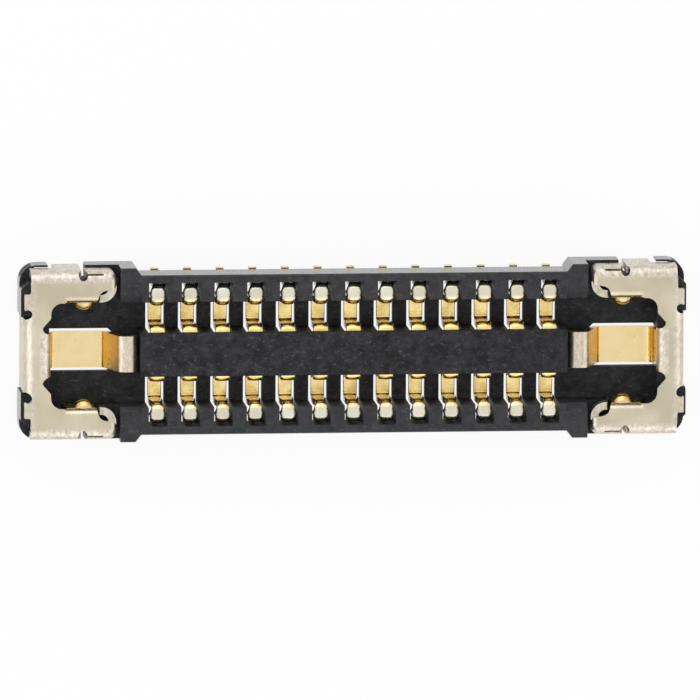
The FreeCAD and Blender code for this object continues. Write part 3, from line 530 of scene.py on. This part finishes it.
def fitting_blank(tongue):
    """Outline of the flat blank, +Y half."""
    tip = END_FOLD_LINE - tongue.length
    flap_end = END_FOLD_LINE + END_FOLD * RIGHT_ANGLE + (PLATE_MIDDLE - END_FOLD)
    side_end = OUTER_FOLD_LINE + OUTER_FOLD * RIGHT_ANGLE + (PLATE_MIDDLE - OUTER_FOLD) - LEG_LENGTH
    leg_end = side_end + LEG_LENGTH
    inner_end = INNER_FOLD_LINE - INNER_FOLD * RIGHT_ANGLE - (PLATE_MIDDLE - INNER_FOLD) + INNER_FLAP_LIFT
    curl_low = CURL_TOP - ARM_DROP

    # The middle line, the end flap, the relief beside it and the plate's corner
    outline = [(tip, 0), (flap_end, 0), (flap_end, END_FLAP_HALF - 0.02), (flap_end - 0.02, END_FLAP_HALF)]
    outline += arc_points(END_RELIEF, END_RELIEF_RADIUS, -60, -300, 12)
    outline += [(3.535, 0.505), (3.535, 0.66), (3.525, 0.67), (3.475, 0.67), (3.465, 0.685), (3.465, 0.78)]

    # The outer flap with its solder leg, and the slit that opens into the relief hole
    outline += [(3.46, 0.80), (3.46, side_end - 0.02), (3.44, side_end), (3.20, side_end), (3.20, leg_end)]
    outline += [(2.92, leg_end)]
    outline += arc_points(HOLE_CENTRE, HOLE_RADIUS, 72, -171, 14)
    outline += [(2.69, 0.842), (2.684, 0.85), (2.69, 0.858)]
    outline += arc_points(HOLE_CENTRE, HOLE_RADIUS, -189, -240, 4)
    outline += [(2.88, side_end)]

    # The rounded corner where the outer flap goes over into the arm's tip
    for turn in spread(90, 0, 10):
        rise = math.sin(math.radians(turn))
        reach = ARM_FOLD_LINE - curl_low + (side_end - OUTER_FOLD_LINE - ARM_FOLD_LINE + curl_low) * rise ** 2
        outline.append((ARM_FOLD_LINE - reach * math.cos(math.radians(turn)), OUTER_FOLD_LINE + reach * rise))

    # The arm's tip with the ear that curls, and its inner edge
    outline += [(curl_low, ARM_INNER), (CURL_TOP - 0.012, ARM_INNER), (CURL_TOP, 0.5235), (CURL_TOP, 0.69)]
    outline += [(CURL_TOP + 0.004, 0.715), (CURL_TOP + 0.008, 0.742), (CURL_TOP + 0.014, 0.748)]
    outline += [(CURL_TOP + 0.022, 0.742), (2.592, 0.722), (2.612, 0.712), (2.65, 0.705), (2.69, 0.694)]
    outline += [(2.722, 0.672), (2.742, 0.642), (2.753, 0.61), (2.766, 0.585)]

    # The inner flap with the latch nub, the cavity's corner and the bar's inner edge
    outline += [(INNER_FLAP_START, 0.57), (INNER_FLAP_START, inner_end)]
    outline += [(INNER_FLAP_END, inner_end), (INNER_FLAP_END, 0.57)]
    outline += arc_points(CAVITY_CORNER, CAVITY_CORNER_RADIUS, 90, 0, 8)
    outline += [(BAR_INNER, 0.41), (3.262, 0.392), (3.325, 0.322), (3.337, 0.305), (3.338, 0.288)]

    # The tongue from its root to its tip
    outline += [(3.328, 0.268), (3.312, 0.248), (3.295, TONGUE_ROOT_HALF + 0.003), (3.255, TONGUE_ROOT_HALF)]
    outline += [(3.235, TONGUE_ROOT_HALF - 0.006), (3.215, TONGUE_HALF + 0.010), (3.20, TONGUE_HALF + 0.002)]
    outline += [(3.18, TONGUE_HALF), (tip + 0.03, TONGUE_HALF), (tip, TONGUE_HALF - 0.03)]
    return outline


def bend(run, radius):
    """How far along and how far down a point lies that is a length past the start of a square fold."""
    if run <= 0:
        return run, 0
    if run < radius * RIGHT_ANGLE:
        return radius * math.sin(run / radius), radius * (1 - math.cos(run / radius))
    return radius, radius + run - radius * RIGHT_ANGLE


def tongue_point(x, y, tongue):
    place, _ = tongue.at(END_FOLD_LINE - x)
    if y <= TONGUE_ROOT_HALF + 0.001:
        return Vector((place.x, y, place.y))
    amount = 1 - smooth_step(TONGUE_ROOT_HALF, TONGUE_ROOT_BLEND, y)
    return Vector((x + (place.x - x) * amount, y, PLATE_MIDDLE + (place.y - PLATE_MIDDLE) * amount))


def end_flap_point(x, y):
    amount = 1 - smooth_step(END_FLAP_HALF, END_FLAP_BLEND, y)
    along, down = bend(x - END_FOLD_LINE, END_FOLD)
    flat = x - END_FOLD_LINE
    return Vector((END_FOLD_LINE + flat + (along - flat) * amount, y, PLATE_MIDDLE - down * amount))


def outer_flap_point(x, y):
    """Straight beside the arm, and round the corner where the arm ends."""
    if x >= ARM_FOLD_LINE:
        along, down = bend(y - OUTER_FOLD_LINE, OUTER_FOLD)
        return Vector((x, OUTER_FOLD_LINE + along, PLATE_MIDDLE - down))
    back, out = ARM_FOLD_LINE - x, y - OUTER_FOLD_LINE
    turn = math.atan2(out, back)
    radius = ARM_FOLD + (OUTER_FOLD - ARM_FOLD) * math.sin(turn) ** 2
    along, down = bend(math.hypot(back, out), radius)
    return Vector((ARM_FOLD_LINE - along * math.cos(turn), OUTER_FOLD_LINE + along * math.sin(turn),
                   PLATE_MIDDLE - down))


def arm_tip_point(x, y):
    """Folded down at the arm's end; its ear also curls inwards round an upright axis."""
    along, down = bend(ARM_FOLD_LINE - x, ARM_FOLD)
    if y >= CURL_CENTRE.y:
        return Vector((ARM_FOLD_LINE - along, y, PLATE_MIDDLE - down))
    radius = CURL_CENTRE.x - (ARM_FOLD_LINE - along)
    past = CURL_CENTRE.y - y
    uncurled = smooth_step(CURL_TOP, CURL_BLEND, x)
    turn = past / CURL_RADIUS * (1 - uncurled)
    straight = max(0, turn - RIGHT_ANGLE) * CURL_RADIUS
    turn = min(turn, RIGHT_ANGLE)
    return Vector((CURL_CENTRE.x - radius * math.cos(turn) + straight,
                   CURL_CENTRE.y - past * uncurled - radius * math.sin(turn), PLATE_MIDDLE - down))


def inner_flap_point(x, y):
    amount = 1 - smooth_step(INNER_FLAP_END, INNER_FLAP_BLEND, x)
    along, down = bend(INNER_FOLD_LINE - y, INNER_FOLD)
    flat = INNER_FOLD_LINE - y
    place = Vector((x, INNER_FOLD_LINE - flat - (along - flat) * amount, PLATE_MIDDLE - down * amount))
    return place - Vector((0, latch_bulge(place.x, place.z), 0))


def latch_bulge(x, z):
    """How far the latch nub stands out of the inner flap."""
    across = (x - LATCH_MIDDLE.x) / LATCH_HALF_WIDTH
    up = (z - LATCH_MIDDLE.y) / LATCH_HALF_HEIGHT
    reach = 1 - across * across - up * up
    return LATCH_REACH * reach ** LATCH_ROUNDNESS if reach > 0 else 0


def fold_point(x, y, tongue):
    """Where a point of the flat blank lies on the folded fitting."""
    if y <= TONGUE_ROOT_BLEND and x < TONGUE_ROOT_X:
        return tongue_point(x, y, tongue)
    if x > END_FOLD_LINE and y < END_FLAP_BLEND:
        return end_flap_point(x, y)
    if y > OUTER_FOLD_LINE:
        return outer_flap_point(x, y)
    if x < ARM_FOLD_LINE:
        return arm_tip_point(x, y)
    if y < INNER_FOLD_LINE and x < CAVITY_CORNER[0]:
        return inner_flap_point(x, y)
    return Vector((x, y, PLATE_MIDDLE))


def plating_at(x, y, tongue):
    """Gold on the tongue up to its crest and round the latch nub, nickel elsewhere."""
    gold = 0
    if y <= TONGUE_ROOT_HALF + 0.002 and x < 3.40:
        along = END_FOLD_LINE - x
        crest = tongue.folds[TONGUE_CREST][0]
        gold = smooth_step(0.13, 0.19, along) * (1 - 0.92 * smooth_step(crest - 0.02, crest + 0.02, along))
    if y < INNER_FOLD_LINE and x > 2.74:
        sides = smooth_step(INNER_FLAP_START, INNER_FLAP_START + 0.03, x) * (1 - smooth_step(2.97, 3.01, x))
        gold = max(gold, sides * smooth_step(0.075, 0.11, INNER_FOLD_LINE - y))
    return gold


def scuff_and_highlight_at(x, y, tongue):
    """Where folding has roughened the sheet, with a pale tone that is partly a painted highlight: outer
    folds, arm tips, the tongue's root and its crest.
    """
    outer = smooth_step(OUTER_FOLD_LINE - 0.012, OUTER_FOLD_LINE + 0.012, y)
    tip = 0.7 * (1 - smooth_step(ARM_FOLD_LINE - 0.05, ARM_FOLD_LINE, x)) if y > 0.5 else 0
    end = 0.6 * smooth_step(END_FOLD_LINE - 0.02, END_FOLD_LINE + 0.03, x)
    root = smooth_step(3.24, 3.27, x) * (1 - smooth_step(3.355, 3.385, x)) * (1 - smooth_step(0.22, 0.27, y))
    crest_begin = tongue.folds[TONGUE_CREST][0]
    crest = 0.8 * smooth_step(crest_begin - 0.02, crest_begin + 0.02, END_FOLD_LINE - x) if y < 0.3 else 0
    return max(outer, tip, end, root, crest)


def painted_reflection_at(x, y, tongue):
    """Painted reflection: where the gold is painted deeper, for the dark housing that it reflects: the
    tongue's rise and lower fold, and round the latch nub.
    """
    if y > 0.3:
        return 0.6
    along = END_FOLD_LINE - x
    low_end, rise_begin = tongue.folds[TONGUE_LOW][1], tongue.folds[TONGUE_RISE][0]
    lower = 1 - smooth_step(low_end - 0.08, low_end - 0.05, along)
    rise = smooth_step(rise_begin + 0.01, rise_begin + 0.04, along)
    return max(0.7 * lower, rise)


def blank_cuts(tongue):
    """The lines that divide the flat blank, along X and along Y: close in folds, blends and the latch nub."""
    cuts_x = spread(END_FOLD_LINE, END_FOLD_LINE + END_FOLD * RIGHT_ANGLE, 9)
    cuts_x += spread(CURL_TOP, ARM_FOLD_LINE, 6)
    for begin, end in tongue.folds:
        cuts_x += [END_FOLD_LINE - distance for distance in spread(begin, end, 8)]
    cuts_x += spread(2.43, 2.55, 4)
    cuts_x += spread(LATCH_MIDDLE.x - 0.10, LATCH_MIDDLE.x + 0.10, 16)
    cuts_x += spread(INNER_FLAP_END, INNER_FLAP_BLEND, 3)
    cuts_x += [2.70, 2.75, 3.20, 3.24, 3.27, 3.355, 3.385, 3.56]
    cuts_y = spread(OUTER_FOLD_LINE, OUTER_FOLD_LINE + OUTER_FOLD * RIGHT_ANGLE, 8)
    cuts_y += spread(INNER_FOLD_LINE - INNER_FOLD * RIGHT_ANGLE, INNER_FOLD_LINE, 6)
    cuts_y += spread(0.47, 0.56, 6)
    cuts_y += spread(0.37, END_FLAP_BLEND, 8)
    cuts_y += spread(ARM_INNER, 0.725, 12)
    cuts_y += spread(TONGUE_ROOT_HALF, TONGUE_ROOT_BLEND, 4)
    cuts_y += [0.10, TONGUE_HALF, 0.22, 0.245, 0.27, 0.30, 0.76, OUTER_FOLD_LINE - 0.012,
               OUTER_FOLD_LINE, OUTER_FOLD_LINE + 0.012, 0.95, 0.98, 1.01, 1.04, 1.07]
    return cuts_x, cuts_y


def fitting_half():
    """The +Y half of the folded sheet's middle face, with its finish on each point."""
    tongue = Path(TONGUE_PATH)
    bm = bmesh.new()
    face = bm.faces.new([bm.verts.new((x, y, 0)) for x, y in fitting_blank(tongue)])
    if face.normal.z < 0:
        face.normal_flip()
    for axis, cuts in zip(((1, 0, 0), (0, 1, 0)), blank_cuts(tongue)):
        for value in sorted(set(round(cut, 5) for cut in cuts)):
            geometry = bm.verts[:] + bm.edges[:] + bm.faces[:]
            bmesh.ops.bisect_plane(bm, geom=geometry, dist=1e-5, plane_no=axis,
                                   plane_co=[value * part for part in axis])
    bmesh.ops.remove_doubles(bm, verts=bm.verts[:], dist=SAME_POINT)
    finishes = [(bm.verts.layers.float.new(name), amount_at)
                for name, amount_at in (("plating", plating_at), ("scuff_and_highlight", scuff_and_highlight_at), ("depth", painted_reflection_at))]
    for vert in bm.verts:
        x, y, _ = vert.co
        for layer, amount_at in finishes:
            vert[layer] = amount_at(x, y, tongue)
        vert.co = fold_point(x, y, tongue)
    return bm


def make_fittings(material):
    bm = fitting_half()
    copied = bmesh.ops.duplicate(bm, geom=bm.verts[:] + bm.edges[:] + bm.faces[:])["geom"]
    for item in copied:
        if isinstance(item, bmesh.types.BMVert):
            item.co.y = -item.co.y
    bmesh.ops.reverse_faces(bm, faces=[item for item in copied if isinstance(item, bmesh.types.BMFace)])
    bmesh.ops.remove_doubles(bm, verts=bm.verts[:], dist=SAME_POINT)
    right = modified_mesh(bm, [
        ("SOLIDIFY", {"thickness": SHEET, "offset": 0, "use_even_offset": True, "thickness_clamp": 0.0}),
        edge_bevel(SHEET_EDGE, 50),
        weighted_normals(False),
    ])
    left = right.copy()
    left.transform(Matrix.Rotation(math.pi, 4, "Z"))
    add_piece("end_fitting_right_sheet", to_metres(right), material, "end_fitting_right")
    add_piece("end_fitting_left_sheet", to_metres(left), material, "end_fitting_left")


# Housing

def make_housing(material):
    """The moulding, with its sharp edges softened a little."""
    bm = bmesh.new()
    bm.from_mesh(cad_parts["housing"].data)
    bmesh.ops.scale(bm, vec=(1 / MM,) * 3, verts=bm.verts)
    bmesh.ops.remove_doubles(bm, verts=bm.verts[:], dist=SAME_POINT)
    bmesh.ops.dissolve_limit(bm, angle_limit=math.radians(1), verts=bm.verts[:], edges=bm.edges[:])
    mesh = modified_mesh(bm, [edge_bevel(HOUSING_EDGE, 30), weighted_normals(False)])
    add_piece("housing_moulding", to_metres(mesh), material, "housing")


# Studio

def make_camera():
    data = bpy.data.cameras.new("camera")
    camera = bpy.data.objects.new("camera", data)
    bpy.context.scene.collection.objects.link(camera)
    right = Vector((0, 1, 0)).cross(VIEW_BACK).normalized()
    up = VIEW_BACK.cross(right)
    turned_right = right * math.cos(VIEW_ROLL) - up * math.sin(VIEW_ROLL)
    turned_up = up * math.cos(VIEW_ROLL) + right * math.sin(VIEW_ROLL)
    turn = Matrix((turned_right, turned_up, VIEW_BACK)).transposed()
    place = VIEW_TARGET + VIEW_BACK * VIEW_DISTANCE
    camera.matrix_world = Matrix.Translation(place) @ turn.to_4x4()
    data.sensor_width = SENSOR
    data.lens = SENSOR * VIEW_DISTANCE / VIEW_WIDTH
    data.clip_start = 1 * MM
    data.clip_end = VIEW_DISTANCE * 4
    bpy.context.scene.camera = camera


def seen_directly(tree):
    """1 for camera, glossy and transmission rays, 0 for the light that falls on things."""
    path = tree.nodes.new("ShaderNodeLightPath")
    total = path.outputs["Is Camera Ray"]
    for name in ("Is Glossy Ray", "Is Transmission Ray"):
        node = tree.nodes.new("ShaderNodeMath")
        node.operation = "MAXIMUM"
        tree.links.new(total, node.inputs[0])
        tree.links.new(path.outputs[name], node.inputs[1])
        total = node.outputs[0]
    return total


def make_floor():
    """A pale floor just under the connector: nearly white where it is seen, plain where it reflects light."""
    half = 60 * MM
    corners = [(-half, -half, 0), (half, -half, 0), (half, half, 0), (-half, half, 0)]
    mesh = bpy.data.meshes.new("floor")
    mesh.from_pydata(corners, [], [(0, 1, 2, 3)])
    floor = bpy.data.objects.new("floor", mesh)
    bpy.context.scene.collection.objects.link(floor)
    floor.location.z = -0.004 * MM
    material = bpy.data.materials.new("floor")
    material.use_nodes = True
    tree = material.node_tree
    tree.nodes.clear()
    output = tree.nodes.new("ShaderNodeOutputMaterial")
    diffuse = tree.nodes.new("ShaderNodeBsdfDiffuse")
    diffuse.inputs["Color"].default_value = (0.92, 0.92, 0.92, 1)
    glow = tree.nodes.new("ShaderNodeEmission")
    glow.inputs["Color"].default_value = (1, 1, 1, 1)
    # The tenth that doesn't glow keeps the connector's shadow
    white = tree.nodes.new("ShaderNodeMixShader")
    white.inputs[0].default_value = 0.90
    tree.links.new(diffuse.outputs[0], white.inputs[1])
    tree.links.new(glow.outputs[0], white.inputs[2])
    mix = tree.nodes.new("ShaderNodeMixShader")
    tree.links.new(seen_directly(tree), mix.inputs[0])
    tree.links.new(diffuse.outputs[0], mix.inputs[1])
    tree.links.new(white.outputs[0], mix.inputs[2])
    tree.links.new(mix.outputs[0], output.inputs["Surface"])
    mesh.materials.append(material)


def make_softbox(name, place, size, radiance):
    """A square soft light that faces the connector."""
    data = bpy.data.lights.new(name, "AREA")
    data.shape = "SQUARE"
    data.size = size * MM
    data.energy = radiance * math.pi * (size * MM) ** 2
    light = bpy.data.objects.new(name, data)
    bpy.context.scene.collection.objects.link(light)
    light.location = Vector(place) * MM
    light.rotation_mode = "QUATERNION"
    light.rotation_quaternion = Vector(place).to_track_quat("Z", "Y")


def make_world():
    """Plain white where it is seen, a little weaker where it lights."""
    world = bpy.data.worlds.new("world")
    bpy.context.scene.world = world
    world.use_nodes = True
    tree = world.node_tree
    background = tree.nodes["Background"]
    background.inputs["Color"].default_value = (1, 1, 1, 1)
    strength = tree.nodes.new("ShaderNodeMapRange")
    strength.inputs["To Min"].default_value = 0.85
    strength.inputs["To Max"].default_value = 1.0
    tree.links.new(seen_directly(tree), strength.inputs["Value"])
    tree.links.new(strength.outputs["Result"], background.inputs["Strength"])


make_camera()
make_floor()
make_world()
make_softbox("back_softbox", (-4, 34, 17), size=30, radiance=0.75)
make_softbox("left_softbox", (-34, 3, 17), size=30, radiance=0.8)
make_softbox("right_softbox", (34, -3, 15), size=26, radiance=0.45)
make_softbox("front_softbox", (4, -34, 15), size=26, radiance=0.6)
make_softbox("high_softbox", (-14, 10, 36), size=7, radiance=1.0)
plastic = plastic_material()
fitting_metal = metal_material("fitting_metal", bare=(0.55, 0.49, 0.36), bare_pale=(0.66, 0.59, 0.45),
                               plated=(0.84, 0.67, 0.36), deep=(0.74, 0.48, 0.10),
                               deepen=0.12, rough=0.25, speck_amount=0.35)
contact_metal = metal_material("contact_metal", bare=(0.68, 0.64, 0.50), bare_pale=(0.80, 0.76, 0.65),
                               plated=(0.95, 0.75, 0.34), deep=(0.66, 0.46, 0.15),
                               deepen=0.75, rough=0.22, speck_amount=0.75)
make_housing(plastic)
make_fittings(fitting_metal)
make_contacts(contact_metal)
bpy.context.scene.view_settings.view_transform = "Standard"
